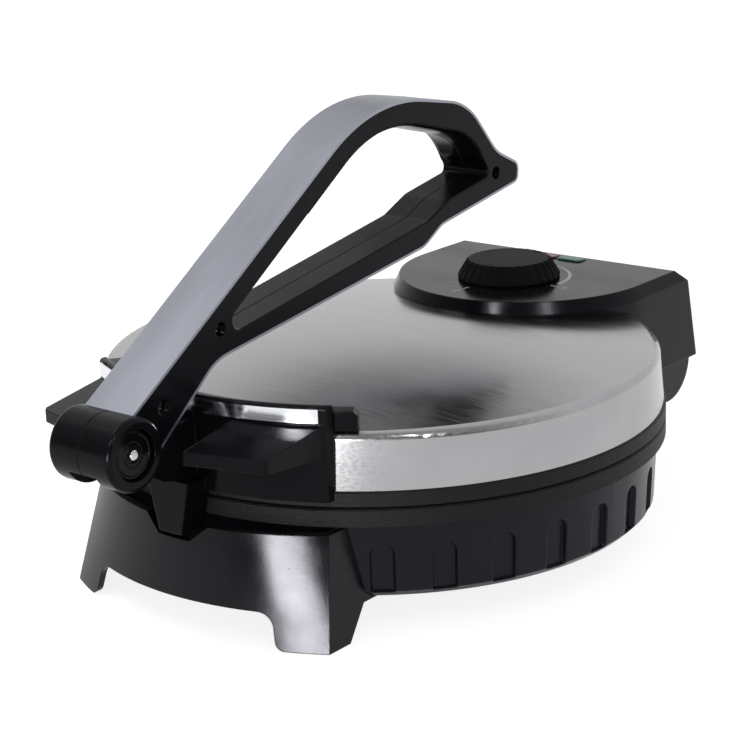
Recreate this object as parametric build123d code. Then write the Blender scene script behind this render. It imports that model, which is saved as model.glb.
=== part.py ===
"""Electric roti maker: two round cooking plates, a hinged steel lid and a looped pressing lever.

Millimetres, +Z up. The front is -Y, where the lever's pivot hangs over the apron; the
hinge and the control housing are at the back. Pieces are modelled round the axis of the cooking
plates and moved together at the end, so that the origin lies under the middle of the whole.
"""
from build123d import *
from math import atan2, cos, degrees, hypot, radians, sin, sqrt, tan
import os

# --- driving dimensions -----------------------------------------------------------------------

# cooking plates
PLATE_R = 134.0            # outer radius of both castings
COOK_MARGIN = 7.0          # rim outside the flat cooking surface
COOK_SLOPE = 1.0           # width of the slope between the two
PLATE_LOW_Z = 49.4         # underside of the lower casting
PLATE_T = 8.0              # height of the lower casting at its rim
SEAM_GAP = 0.4             # gap between the two rims when closed
UPPER_PLATE_T = 7.4        # height of the upper casting at its rim
COOK_RECESS = 0.6          # how far each cooking surface lies behind its rim
PLATE_CORE_T = 5.0         # thickness of a plate behind its cooking surface
RIM_W = 5.0                # width of the thicker rim
RIM_CHAMFER = 0.8
ELEMENT_TUBE_R = 3.2       # radius of a heating element's tube
ELEMENT_OPEN = 34.0        # angle left open between an element's two ends, degrees
CHANNEL_LIP = 0.15         # how much wider the channel is than its element, each side
CHANNEL_WALL = 3.0         # wall of the cast rib on each side of an element
TERMINAL_R, TERMINAL_L = 2.0, 9.0
TERMINAL_INSET = 2.0       # degrees from a ring's end to its terminal
TERMINAL_GAP = 1.5         # terminal to the shield's hole
SHIELD_MARGIN, SHIELD_T, SHIELD_GAP = 24.0, 0.8, 12.0   # sheet heat shields behind the plates
SHIELD_POST_R, SHIELD_POST_INSET = 4.0, 7.0
SHIELD_SCREW_L = 6.0
FUSE_R, FUSE_H, FUSE_Y = 6.0, 7.0, 58.0
BLIND_END = 2.0            # plate left in front of a screw hole

# levels and edges that the plates give
PLATE_TOP_Z = PLATE_LOW_Z + PLATE_T
UPPER_LOW_Z = PLATE_TOP_Z + SEAM_GAP
UPPER_TOP_Z = UPPER_LOW_Z + UPPER_PLATE_T
FRONT, REAR = -PLATE_R, PLATE_R             # front-most and rear-most points of the plates

# tub
TUB_BOTTOM_Z = 15.0        # underside of the tub above the ground
TUB_INSET = 4.0            # tub's rim inside the plates' rim
TUB_LEAN = 1.6             # how much the wall leans out from its foot to its rim
TUB_BEVEL_W, TUB_BEVEL_H = 3.0, 3.0         # bevelled lower edge
TUB_RIM_GAP = 0.5          # tub rim to the underside of the lower plate
TUB_WALL = 4.0
TUB_FLOOR_T = 3.0
FLUTE_W = 11.0             # width of a flute
FLUTE_SET = 9.4            # top of a flute below the plates
FLUTE_DEPTH = 2.4
FLUTE_STEP = 12.0          # degrees from flute to flute
FLUTE_START, FLUTE_COUNT = 37.7, 10         # first flute from the front, and flutes on each side
FLUTE_DRAFT = 18.0         # lean of a flute's side walls
VENT_COUNT = 12
VENT_W, VENT_L, VENT_R = 3.2, 24.0, 52.0
POST_R, POST_INSET = 5.0, 11.4              # posts that carry the lower plate, and their place inside the tub
POST_ANGLES = (50.0, -50.0, 180.0)
REAR_FOOT_X, FOOT_INSET = 62.0, 16.11       # a rear foot's place, to the side and inside the tub's edge
REAR_FOOT_R, FOOT_TAPER, FOOT_SPIGOT_R = 10.0, 4.0, 5.0
PAD_R = 7.0
PAD_T = 2.4                # rubber pad, of which a part shows
PAD_SHOW = 1.0
GLAND_R, GLAND_BORE_R, GLAND_RISE = 6.0, 3.4, 12.0
GLAND_LIP, GLAND_LIP_T, GLAND_REACH, GLAND_TAPER = 2.0, 2.0, 9.0, 1.5
TERMINAL_W, TERMINAL_D, TERMINAL_H, TERMINAL_INNER = 30.0, 12.0, 10.0, 36.0
TERMINAL_HOLE_R, TERMINAL_HOLE_DEPTH = 2.7, 3.0

# front apron with its two legs
APRON_TOP_Z = PLATE_LOW_Z - 1.4
APRON_TOP_X, APRON_TOP_Y = 67.7, FRONT + 11.0   # upper corner of the outer face
APRON_TOP_FRONT = FRONT - 11.5                  # front-most point of the upper edge
APRON_FOOT_X, APRON_FOOT_Y = 75.3, FRONT - 0.6  # lower corner of the outer face
APRON_FOOT_FRONT = FRONT - 20.5
APRON_WALL = 3.5
ARCH_Z, ARCH_X = 15.5, 50.5                     # height and half width of the arch before rounding
LEG_INNER_X = 54.0                              # inner edge of a leg before rounding
LEG_DEPTH, LEG_SLANT = 14.0, 12.5               # depth of a leg at the ground, and how much it gains above
RETURN_T, RETURN_L, RETURN_LAP = 3.2, 45.0, 1.28    # side returns, and how far they enter the front wall
LEG_STEP_Z = 14.0                               # height where a leg's back starts to slant
ARCH_ROUND, LEG_ROUND = 8.0, 5.0
LUG_ANGLE, LUG_W, LUG_LOW_Z, LUG_TOP_Z, LUG_L = 13.5, 9.0, 24.0, 36.0, 25.0
APRON_SCREW_L = 12.0
NOTCH_Z = PLATE_LOW_Z - 8.9                     # bottom of the notch in the upper edge
NOTCH_LOW_X, NOTCH_TOP_X = 9.0, 18.0            # half widths of the notch

# hinge at the back
HINGE_Y, HINGE_Z = REAR + 18.0, PLATE_LOW_Z + 4.1
HINGE_PIN_R = 2.5
HINGE_FIT = 0.05           # radial clearance of the pin in the lid's arms
TROUGH_R, TROUGH_WALL = 20.6, 2.6
TROUGH_HALF_X = 66.2
NECK_HALF_X, NECK_LOW_Z, NECK_RIM_GAP = 60.0, PLATE_LOW_Z - 12.9, 1.5
NECK_SCREW_X, NECK_SCREW_Z, NECK_SCREW_END = 25.0, PLATE_LOW_Z - 7.4, 3.0
NECK_PLATE_GAP = 0.6
CHEEK_R, CHEEK_T = 7.5, 3.5
ARM_X, ARM_T = 48.0, 7.0   # middle and thickness of each lid arm
ARM_EAR_R = 8.0
ARM_SIDE_GAP = 0.5
ARM_REACH_Y = REAR - 38.0  # front end of an arm on the upper plate
ARM_STRAP_H = 5.5
ARM_SCREW_YS = (REAR - 33.0, REAR - 17.0)
ARM_SCREW_HEAD_R = 3.0
ARM_PLATE_GAP, ARM_SLOT_GAP = 1.5, 1.5      # an arm above the seam, and clear of the cover's slot
ARM_LAP, ARM_BACK = 3.0, 4.0                # how an arm laps and passes the plate's rim

# steel cover of the lid
COVER_INSET = 1.0          # cover's foot inside the plates' rim
COVER_LEAN = 1.8           # how much its wall leans in
COVER_WALL_H = 25.0        # height of its wall up to the shoulder
COVER_ROUND = 4.0
COVER_RISE = 6.8           # rise of the dome above its shoulder
COVER_T = 0.9

# control housing
PANEL_RISE = 11.3                                   # panel above the cover's shoulder
PANEL_R, PANEL_Y = 66.5, REAR - 12.0                # radius and centre of the round front
PANEL_REAR_Y = REAR + 23.0
HOUSING_FLARE = 3.0                                 # how much wider the body is than the panel
HOUSING_BEVEL_H = 6.0
HOUSING_WALL = 2.5
HOUSING_LOW_Z = HINGE_Z
HOUSING_BACK_Y, HOUSING_BACK_DROP = REAR + 34.0, 8.5    # rear edge below the bevel
HOUSING_HEEL_Y = REAR + 42.5                        # rear edge at the bottom
HOUSING_TOE_Y = REAR + 3.0                          # front of the side wall at the bottom
HOUSING_KNEE = (REAR - 6.5, UPPER_TOP_Z + 7.8)      # bend of the side wall's front edge
HOUSING_SHOULDER = (REAR - 20.0, UPPER_TOP_Z + 19.3)    # where that edge leaves the lid
HOUSING_POSTS = ((50.0, REAR - 50.0), (36.0, REAR - 20.0))
HOUSING_POST_R = 4.0
HOUSING_SCREW_L = 5.0
HOUSING_EDGE = 3.0
HOUSING_LID_GAP = 0.6
LENS_L, LENS_W, LENS_GAP, LENS_Y = 13.5, 6.0, 1.5, REAR + 17.0
LENS_PROUD, LENS_T, LENS_LIP, LENS_EDGE = 0.3, 1.6, 1.0, 0.24
LAMP_R, LAMP_H = 2.9, 15.0

# control dial
DIAL_Y = REAR - 29.0
DIAL_GAP = 0.6
DIAL_RIM_R, DIAL_TOP_R = 26.0, 21.0
DIAL_RIM_H, DIAL_H = 1.9, 9.7       # heights of the widest ring and of the top
DIAL_EDGE, DIAL_CROWN = 0.6, 0.3
DIAL_RIBS = 30
DIAL_GROOVE_R, DIAL_GROOVE_DEPTH = 3.2, 0.45
DIAL_POINTER = 20.0                 # degrees clockwise from the back
MARK_L, MARK_W, MARK_DEPTH = 5.0, 1.4, 0.5
SHAFT_R = 3.0
SHAFT_FIT = 0.05
SHAFT_END = 2.0                     # dial left above its shaft
BUSH_R, BUSH_HOLE_R, BUSH_DROP = 4.4, 6.0, 5.0
SHAFT_HOLE_R = 3.4
THERMOSTAT_R, THERMOSTAT_H = 13.0, 13.0
THERMOSTAT_GAP = 1.65               # to the rib round the heating element
THERMOSTAT_EAR, THERMOSTAT_EAR_W, THERMOSTAT_EAR_T = 6.0, 6.0, 1.0
SHAFT_DEPTH, SHAFT_END_GAP = 4.0, 0.5       # the shaft's socket in the thermostat

# front bracket
BRACKET_WALL = 4.5
BRACKET_LOW_Z = UPPER_TOP_Z - 3.7
BRACKET_RISE = 13.4                                 # its top above the cover's shoulder
BRACKET_IN_ANGLE, BRACKET_OUT_ANGLE = 32.2, 28.8    # ends at the lid and at the outer face
BRACKET_PLATE_GAP = 0.3
BRACKET_EDGE = 1.6
BRACKET_SCREW_ANGLE, BRACKET_SCREW_Z = 20.0, UPPER_TOP_Z + 10.8
BRACKET_SCREW_SEAT, BRACKET_SCREW_END = 1.6, 1.2
PAD_DEPTH, PAD_OVERHANG, PAD_ANGLE = 7.6, 0.4, 34.2    # pads on the shoulder at the wall's ends
PAD_LOW_RISE, PAD_RISE = 1.0, 9.6
PAD_CHAMFER = 2.0
TRIM_MARGIN, TRIM_W, TRIM_ANGLE, TRIM_T = 1.0, 6.0, 27.6, 0.8
WING_IN_X, WING_TIP_X = 28.0, 65.0
WING_IN_Y, WING_TIP_Y = FRONT - 32.3, FRONT - 23.0
WING_LIP_LOW_Z, WING_LIP_TOP_Z = UPPER_TOP_Z + 19.1, UPPER_TOP_Z + 24.8
WING_ROOT_LOW_Z, WING_ROOT_TOP_Z = UPPER_TOP_Z + 14.3, UPPER_TOP_Z + 31.4
WING_ROOT_IN_Y, WING_ROOT_TIP_Y = FRONT + 3.0, FRONT + 22.0
WING_TIP_CUT = 1.5
TONGUE_TIP_Z, TONGUE_TIP_X, TONGUE_TOP_X = PLATE_LOW_Z - 6.4, 6.5, 12.0
TONGUE_FRONT_Y, TONGUE_BACK_Y = FRONT - 14.5, FRONT - 1.5
TONGUE_ROOT = 6.0

# lever pivot and hub
HUB_Y, HUB_Z = FRONT - 48.5, UPPER_TOP_Z + 26.0
HUB_R, HUB_HALF = 15.9, 17.9
HUB_ROUND = 2.2
LINK_HALF = 7.4            # half width of the bracket's link inside the hub
LINK_SIDE_GAP = 0.6
LINK_EAR_R = 10.4
LINK_EAR_GAP = 0.8
LINK_NECK = 1.0            # where the link's outline starts, outside the hub
LINK_LOW_ANGLE = 48.0      # lower edge of the link where it leaves the hub, degrees down from the back
LINK_ROOT_Y, LINK_ROOT_TOP_Z = FRONT, UPPER_TOP_Z + 29.8
LINK_SHOULDER_L, LINK_SHOULDER_DROP = 12.0, 1.5
LINK_HEEL_Y, LINK_HEEL_Z, LINK_FOOT_RISE = FRONT - 23.5, UPPER_TOP_Z + 5.3, 3.0
SLOT_FROM, SLOT_TO = 9.0, -152.0    # open part of the hub's wall, degrees up from the back
PIN_R, PIN_BORE_DEPTH = 3.0, 6.0
PIN_FIT = 0.05
CAP_R, CAP_T, CAP_RECESS, CAP_DISH_R, CAP_DISH_DEPTH, CAP_EDGE = 11.0, 2.0, 2.0, 3.6, 1.0, 0.8
CAP_SCREW_HEAD_R = 2.4

# lever loop, in (y, z) from the pivot: corners and the radii that round them
LOOP_OUTER = ((-1.0, 11.4), (166.1, 120.4), (235.9, 107.6), (259.0, 80.1), (276.8, 71.5), (275.9, 64.1),
              (213.8, 54.2), (199.7, 46.2), (53.6, 27.0), (10.2, -8.2))
LOOP_OUTER_ROUND = (90.0, 38.0, 24.0, 4.5, 3.0, 16.0, 16.0, 26.0)
LOOP_INNER = ((50.9, 32.9), (170.2, 111.3), (240.5, 92.8), (253.7, 69.9), (220.5, 64.2), (203.5, 56.9))
LOOP_INNER_ROUND = (4.4, 69.0, 34.0, 3.0, 12.0, 10.0)
LOOP_HALF = 13.7           # half width of the black shells
BAND_T = 1.2
BAND_OVERHANG = 0.2
LOOP_CHAMFER = 0.6
LEVER_SCREW_HOLE_R, LEVER_SCREW_HEAD_R = 3.2, 3.0
LEVER_SCREW_SINK, LEVER_SCREW_END = 5.5, 2.0
LEVER_SCREWS = ((258.5, 70.3), (58.0, 38.8), (21.5, 14.3))

# small fasteners and seats
SEAT_GAP = 0.02            # between shells that seat on curved faces
DOME_SEAT_DROP = 0.5       # screw heads below the sloping dome
SCREW_R, SCREW_HEAD_R, SCREW_HEAD_H, SCREW_HEAD_ROUND = 1.8, 3.4, 2.2, 0.88
HEAD_GAP = 0.3             # a sunk head in its counterbore
THREAD_END = 2.5           # how far the plates' screws enter the castings
PAST = 2.0                 # how far a cut runs past the face it opens

# --- values that follow from them ---------------------------------------------------------------

COOK_R = PLATE_R - COOK_MARGIN                              # radius of the flat cooking surface
LOW_CORE_Z = PLATE_TOP_Z - COOK_RECESS - PLATE_CORE_T       # underside of the lower plate's core
HIGH_CORE_Z = UPPER_LOW_Z + COOK_RECESS + PLATE_CORE_T      # top of the upper plate's core
CHANNEL_R = ELEMENT_TUBE_R + CHANNEL_LIP
ELEMENT_R = DIAL_Y - THERMOSTAT_R - THERMOSTAT_GAP - CHANNEL_WALL - CHANNEL_R   # centre-line radius
SHIELD_R = PLATE_R - SHIELD_MARGIN
SHIELD_RING_R = SHIELD_R - SHIELD_POST_INSET
TUB_TOP_R = PLATE_R - TUB_INSET                             # radius at the rim
TUB_LOW_R = TUB_TOP_R - TUB_LEAN                            # radius above the bevelled lower edge
TUB_BOTTOM_R = TUB_LOW_R - TUB_BEVEL_W                      # radius where the lower edge starts
TUB_TOP_Z = PLATE_LOW_Z - TUB_RIM_GAP
TUB_FLOOR_Z = TUB_BOTTOM_Z + TUB_FLOOR_T
FLUTE_TOP = PLATE_LOW_Z - FLUTE_SET
POST_RING_R = TUB_LOW_R - POST_INSET
REAR_FOOT_Y = sqrt((TUB_BOTTOM_R - FOOT_INSET)**2 - REAR_FOOT_X**2)
GLAND_Z = TUB_BOTTOM_Z + GLAND_RISE
TERMINAL_Y = REAR - TERMINAL_INNER
LUG_Z = (LUG_LOW_Z + LUG_TOP_Z) / 2
COVER_FOOT_R = PLATE_R - COVER_INSET
COVER_SHOULDER_R = COVER_FOOT_R - COVER_LEAN
COVER_SHOULDER_Z = UPPER_TOP_Z + COVER_WALL_H
COVER_TOP_Z = COVER_SHOULDER_Z + COVER_RISE
PANEL_Z = COVER_SHOULDER_Z + PANEL_RISE
HOUSING_BACK_Z = PANEL_Z - HOUSING_BACK_DROP
BUSH_TOP_Z = PANEL_Z - BUSH_DROP
BRACKET_OUT_R = COVER_FOOT_R + BRACKET_WALL
BRACKET_TOP_Z = COVER_SHOULDER_Z + BRACKET_RISE
PAD_OUT_R = COVER_SHOULDER_R + PAD_OVERHANG
PAD_IN_R = PAD_OUT_R - PAD_DEPTH
TRIM_TOP_Z = BRACKET_TOP_Z - TRIM_MARGIN
PIN_HALF = HUB_HALF - CAP_RECESS - CAP_T                    # the pin ends at the caps
SIDE = PLATE_R + HOUSING_HEEL_Y - HUB_Y                     # longer than any cut has to reach
ORIGIN_Y = ((HUB_Y - HUB_R) + HOUSING_HEEL_Y) / 2
NODES = {}

# --- helpers ------------------------------------------------------------------------------------

def add(name, *shapes):
    """Keep the named piece, moved so that the origin lies under the middle of the whole."""
    solids = [Pos(0, -ORIGIN_Y, 0) * solid for shape in shapes for solid in shape.solids()]
    NODES[name] = solids[0] if len(solids) == 1 else Compound(children=solids)


def plan_point(radius, angle, centre_y=0.0):
    """Point at a plan angle measured from the front (-Y) towards the right (+X)."""
    return (radius * sin(radians(angle)), centre_y - radius * cos(radians(angle)))


def turned(radius, angle, z=0.0):
    """Place on a circle round the plates' axis, facing outwards along local -Y."""
    x, y = plan_point(radius, angle)
    return Pos(x, y, z) * Rot(Z=angle)


def spun(*points):
    """Solid of revolution about the plates' axis from (radius, height) points."""
    return revolve(make_face(Plane.XZ * Polyline(*points, close=True)), axis=Axis.Z)


def disc(radius, z_low, z_high, x=0.0, y=0.0):
    """Upright cylinder between two heights."""
    return extrude(Plane.XY.offset(z_low) * Pos(x, y) * Circle(radius), amount=z_high - z_low)


def rod_x(radius, x_from, x_to, y, z):
    """Cylinder along X between two places."""
    return extrude(Plane.YZ.offset(x_from) * Pos(y, z) * Circle(radius), amount=x_to - x_from)


def side_prism(points, x_from, x_to):
    """Prism along X from (y, z) points."""
    return extrude(Plane.YZ.offset(x_from) * make_face(Polyline(*points, close=True)), amount=x_to - x_from)


def sector_face(r_in, r_out, angle_in, angle_out, z):
    """Flat ring sector centred on the front, with its own end angle on each of its arcs."""
    outer = ThreePointArc(*(plan_point(r_out, a) for a in (-angle_out, 0, angle_out)))
    inner = ThreePointArc(*(plan_point(r_in, a) for a in (-angle_in, 0, angle_in)))
    ends = [Line(outer @ 1, inner @ 1), Line(outer @ 0, inner @ 0)]
    return Pos(0, 0, z) * make_face([outer, inner, *ends])


def sector(r_in, r_out, angle_in, angle_out, z_low, z_high):
    return extrude(sector_face(r_in, r_out, angle_in, angle_out, z_low), amount=z_high - z_low)


def both_sides(shape):
    """The shape and its mirror image across the middle plane."""
    return shape + mirror(shape, about=Plane.YZ)


def screw(length, head_r=SCREW_HEAD_R, r=SCREW_R):
    """Pan-head screw: the head's seat at the local origin, the shank along +Z."""
    head = Pos(0, 0, -SCREW_HEAD_H) * extrude(Circle(head_r), amount=SCREW_HEAD_H)
    head = fillet(head.edges().group_by(Axis.Z)[0], SCREW_HEAD_ROUND)
    return head + extrude(Circle(r), amount=length)


# --- base ---------------------------------------------------------------------------------------

def tub_radius(z):
    """Outer radius of the tub's wall at a height above its bevel."""
    low_z = TUB_BOTTOM_Z + TUB_BEVEL_H
    return TUB_LOW_R + (TUB_TOP_R - TUB_LOW_R) * (z - low_z) / (TUB_TOP_Z - low_z)


def tub_envelope(gap=0.0):
    """Everything inside the tub's outer surface, for cutting what seats against it."""
    low_z = TUB_BOTTOM_Z + TUB_BEVEL_H
    return spun((0, TUB_BOTTOM_Z), (TUB_BOTTOM_R + gap, TUB_BOTTOM_Z), (TUB_LOW_R + gap, low_z),
                (TUB_TOP_R + gap, TUB_TOP_Z), (TUB_TOP_R + gap, PLATE_LOW_Z), (0, PLATE_LOW_Z))


def base_tub():
    low_z = TUB_BOTTOM_Z + TUB_BEVEL_H
    floor_z = TUB_FLOOR_Z
    tub = spun((0, TUB_BOTTOM_Z), (TUB_BOTTOM_R, TUB_BOTTOM_Z), (TUB_LOW_R, low_z),
               (TUB_TOP_R, TUB_TOP_Z), (TUB_TOP_R - TUB_WALL, TUB_TOP_Z),
               (TUB_LOW_R - TUB_WALL, floor_z), (0, floor_z))
    taper = degrees(atan2(TUB_TOP_R - TUB_LOW_R, TUB_TOP_Z - low_z))
    straight = FLUTE_TOP - FLUTE_W / 2 - low_z
    narrow = FLUTE_W / 2 - FLUTE_DEPTH * tan(radians(FLUTE_DRAFT))
    outline = Pos(0, straight / 2) * Rectangle(2 * narrow, straight) + Pos(0, straight) * Circle(narrow)
    flute = Rot(X=taper) * extrude(Plane.XZ * outline, amount=3 * FLUTE_DEPTH, taper=-FLUTE_DRAFT)
    for i in range(FLUTE_COUNT):
        for side in (-1, 1):
            angle = side * (FLUTE_START + i * FLUTE_STEP)
            tub -= turned(TUB_LOW_R - FLUTE_DEPTH, angle, low_z) * flute
    vent = extrude(SlotOverall(VENT_L, VENT_W), amount=2 * TUB_FLOOR_T)
    for i in range(VENT_COUNT):
        tub -= Rot(Z=360 * i / VENT_COUNT) * Pos(VENT_R, 0, TUB_BOTTOM_Z - TUB_FLOOR_T / 2) * vent
    for angle in POST_ANGLES:
        x, y = plan_point(POST_RING_R, angle)
        tub += disc(POST_R, TUB_BOTTOM_Z + TUB_FLOOR_T / 2, LOW_CORE_Z, x, y)
        tub -= disc(SCREW_R, TUB_BOTTOM_Z, LOW_CORE_Z, x, y)
        tub -= disc(SCREW_HEAD_R + HEAD_GAP, TUB_BOTTOM_Z, TUB_BOTTOM_Z + SCREW_HEAD_H, x, y)
    for x in (-REAR_FOOT_X, REAR_FOOT_X):
        tub -= disc(FOOT_SPIGOT_R, TUB_BOTTOM_Z, floor_z, x, REAR_FOOT_Y)
    gland_hole = disc(GLAND_R, TUB_LOW_R - TUB_WALL - GLAND_R, TUB_TOP_R + GLAND_R)
    tub -= Pos(0, 0, GLAND_Z) * Rot(X=-90) * gland_hole
    for side in (-1, 1):
        tub -= turned(0, side * LUG_ANGLE, LUG_Z) * Rot(X=90) * disc(SCREW_R, SHIELD_R, PLATE_R)
        tub -= Pos(side * NECK_SCREW_X, 0, NECK_SCREW_Z) * Rot(X=-90) * disc(SCREW_R, SHIELD_R, PLATE_R)
    return tub


def rear_feet():
    """Two tapered feet, each plugged into the tub's floor with a spigot."""
    foot = extrude(Plane.XY.offset(TUB_BOTTOM_Z) * Circle(REAR_FOOT_R), amount=-(TUB_BOTTOM_Z - PAD_SHOW),
                   taper=FOOT_TAPER)
    foot = Pos(REAR_FOOT_X, REAR_FOOT_Y) * foot
    foot += disc(FOOT_SPIGOT_R, TUB_BOTTOM_Z, TUB_FLOOR_Z, REAR_FOOT_X, REAR_FOOT_Y)
    return both_sides(foot - disc(PAD_R, PAD_SHOW, PAD_T, REAR_FOOT_X, REAR_FOOT_Y))


def rubber_pads():
    """Two pads let into the rear feet."""
    return both_sides(disc(PAD_R, 0, PAD_T, REAR_FOOT_X, REAR_FOOT_Y))


def apron_slice(wall, corner_x, corner_y, front_y, z):
    """Level slice through the apron's wall, an arc through two corners and the foremost point."""
    rise = corner_y - front_y
    radius = (corner_x ** 2 + rise ** 2) / (2 * rise)
    half = degrees(atan2(corner_x, radius - rise))
    return Pos(0, front_y + radius) * sector_face(radius - wall, radius, half, half, z)


def apron_wall(wall, z_top):
    """The apron's curved and leaning wall from the ground up to a height."""
    share = z_top / APRON_TOP_Z
    low = apron_slice(wall, APRON_FOOT_X, APRON_FOOT_Y, APRON_FOOT_FRONT, 0)
    high = apron_slice(wall, APRON_FOOT_X + share * (APRON_TOP_X - APRON_FOOT_X),
                       APRON_FOOT_Y + share * (APRON_TOP_Y - APRON_FOOT_Y),
                       APRON_FOOT_FRONT + share * (APRON_TOP_FRONT - APRON_FOOT_FRONT), z_top)
    return loft([low, high], ruled=True)


def apron_return():
    """Side wall that runs back from the apron's corner to the tub and ends in the leg."""
    slices = []
    for x, y, z in ((APRON_FOOT_X, APRON_FOOT_Y, 0), (APRON_TOP_X, APRON_TOP_Y, APRON_TOP_Z)):
        inner_x = x - RETURN_T
        corners = ((x, y), (x, y + RETURN_L), (inner_x, y + RETURN_L), (inner_x, y - RETURN_LAP))
        slices.append(make_face(Pos(0, 0, z) * Polyline(*corners, close=True)))
    heel = APRON_FOOT_Y + LEG_DEPTH
    slanted = ((heel, -PAST), (heel, 0), (heel + LEG_SLANT, LEG_STEP_Z), (0, LEG_STEP_Z), (0, -PAST))
    below = side_prism(slanted, 0, SIDE)
    return loft(slices, ruled=True) - tub_envelope(SEAT_GAP) - below


def front_apron():
    arch = FilletPolyline((-2 * LEG_INNER_X, 0), (-LEG_INNER_X, 0), (-ARCH_X, ARCH_Z), (ARCH_X, ARCH_Z),
                          (LEG_INNER_X, 0), (2 * LEG_INNER_X, 0),
                          radius=[LEG_ROUND, ARCH_ROUND, ARCH_ROUND, LEG_ROUND])
    bottom = Polyline(arch @ 1, (2 * LEG_INNER_X, -PAST), (-2 * LEG_INNER_X, -PAST), arch @ 0)
    arch_cut = extrude(Plane.XZ * make_face([arch, bottom]), amount=SIDE)
    notch = Polyline((-NOTCH_TOP_X, APRON_TOP_Z), (-NOTCH_LOW_X, NOTCH_Z), (NOTCH_LOW_X, NOTCH_Z),
                     (NOTCH_TOP_X, APRON_TOP_Z), (NOTCH_TOP_X, APRON_TOP_Z + PAST),
                     (-NOTCH_TOP_X, APRON_TOP_Z + PAST), close=True)
    notch_cut = extrude(Plane.XZ * make_face(notch), amount=SIDE)
    apron = apron_wall(APRON_WALL, APRON_TOP_Z)
    apron -= arch_cut + notch_cut
    apron += both_sides(apron_return())
    lug = side_prism(((0, LUG_LOW_Z), (0, LUG_TOP_Z), (-LUG_L, LUG_TOP_Z), (-LUG_L, LUG_LOW_Z)),
                     -LUG_W / 2, LUG_W / 2)
    behind = apron_wall(RETURN_L, APRON_TOP_Z)
    hole_end = TUB_LOW_R - TUB_WALL + APRON_SCREW_L + HEAD_GAP
    for side in (-1, 1):
        place = turned(TUB_LOW_R - TUB_WALL, side * LUG_ANGLE)
        apron += (place * lug & behind) - tub_envelope(SEAT_GAP)
        apron -= turned(0, side * LUG_ANGLE, LUG_Z) * Rot(X=90) * disc(SCREW_R, 0, hole_end)
    return apron


def apron_screws():
    """Two screws from inside the tub's wall into the apron's lugs."""
    seat = TUB_LOW_R - TUB_WALL
    return [turned(seat, side * LUG_ANGLE, LUG_Z) * Rot(X=90) * screw(APRON_SCREW_L) for side in (-1, 1)]


def trough_web(radius, x_from, x_to):
    """Plate round the hinge pin that stands up from the trough's floor."""
    web = rod_x(radius, x_from, x_to, HINGE_Y, HINGE_Z)
    web += side_prism(((HINGE_Y - radius, HINGE_Z), (HINGE_Y + radius, HINGE_Z), (HINGE_Y + radius, 0),
                       (HINGE_Y - radius, 0)), x_from, x_to)
    return web & rod_x(TROUGH_R - TROUGH_WALL / 2, x_from, x_to, HINGE_Y, HINGE_Z)


def rear_housing():
    """Half-round trough behind the tub that holds the hinge pins."""
    inner_r = TROUGH_R - TROUGH_WALL
    hollow = rod_x(inner_r, -TROUGH_HALF_X + TROUGH_WALL, TROUGH_HALF_X - TROUGH_WALL, HINGE_Y, HINGE_Z)
    trough = rod_x(TROUGH_R, -TROUGH_HALF_X, TROUGH_HALF_X, HINGE_Y, HINGE_Z)
    neck_top = TUB_TOP_Z - NECK_RIM_GAP
    neck_front = TERMINAL_Y
    trough += side_prism(((neck_front, NECK_LOW_Z), (HINGE_Y, NECK_LOW_Z), (HINGE_Y, neck_top),
                          (neck_front, neck_top)), -NECK_HALF_X, NECK_HALF_X)
    trough -= hollow
    top = HINGE_Z + TROUGH_R + PAST
    trough -= side_prism(((0, HINGE_Z), (SIDE, HINGE_Z), (SIDE, top), (0, top)), -SIDE, SIDE)
    trough -= tub_envelope(SEAT_GAP)
    trough -= disc(PLATE_R + NECK_PLATE_GAP, neck_top, HINGE_Z + PAST)
    for side in (-1, 1):
        for edge in (-1, 1):
            near = side * ARM_X + edge * (ARM_T / 2 + ARM_SIDE_GAP)
            far = near + edge * CHEEK_T
            trough += trough_web(CHEEK_R, min(near, far), max(near, far))
        trough -= rod_x(HINGE_PIN_R, side * ARM_X - 2 * ARM_T, side * ARM_X + 2 * ARM_T, HINGE_Y, HINGE_Z)
    hole = Rot(X=-90) * disc(SCREW_R, 0, REAR - NECK_SCREW_END)
    return trough - both_sides(Pos(NECK_SCREW_X, 0, NECK_SCREW_Z) * hole)


def rear_housing_screws():
    """Two screws from inside the tub's wall into the trough's neck."""
    wall_r = tub_radius(NECK_SCREW_Z - SCREW_HEAD_R) - TUB_WALL
    seat = sqrt(wall_r**2 - (NECK_SCREW_X + SCREW_HEAD_R)**2) - SEAT_GAP
    length = REAR - NECK_SCREW_END - seat
    return [Pos(side * NECK_SCREW_X, seat, NECK_SCREW_Z) * Rot(X=-90) * screw(length) for side in (-1, 1)]


def hinge_pins():
    reach = ARM_T / 2 + ARM_SIDE_GAP + CHEEK_T
    return both_sides(rod_x(HINGE_PIN_R, ARM_X - reach, ARM_X + reach, HINGE_Y, HINGE_Z))


def cord_gland():
    """Flanged bush in the tub's rear wall, the outlet for the supply cord."""
    wall_y = tub_radius(GLAND_Z)
    inner_y = wall_y - TUB_WALL - GLAND_LIP_T
    lip_y, end_y = wall_y + GLAND_LIP_T, wall_y + GLAND_REACH
    profile = Polyline(
        (inner_y, GLAND_R), (wall_y, GLAND_R), (wall_y, GLAND_R + GLAND_LIP), (lip_y, GLAND_R + GLAND_LIP),
        (end_y, GLAND_R - GLAND_TAPER), (end_y, GLAND_BORE_R), (inner_y, GLAND_BORE_R), close=True)
    bush = revolve(make_face(Plane.YZ * profile), axis=Axis.Y)
    hole = extrude(Plane.XZ.offset(-wall_y - GLAND_R) * Circle(GLAND_R), amount=2 * (TUB_WALL + GLAND_R))
    inner = bush & hole
    outer = Pos(0, 0, GLAND_Z) * bush - tub_envelope(SEAT_GAP)
    return outer + Pos(0, 0, GLAND_Z) * inner


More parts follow.
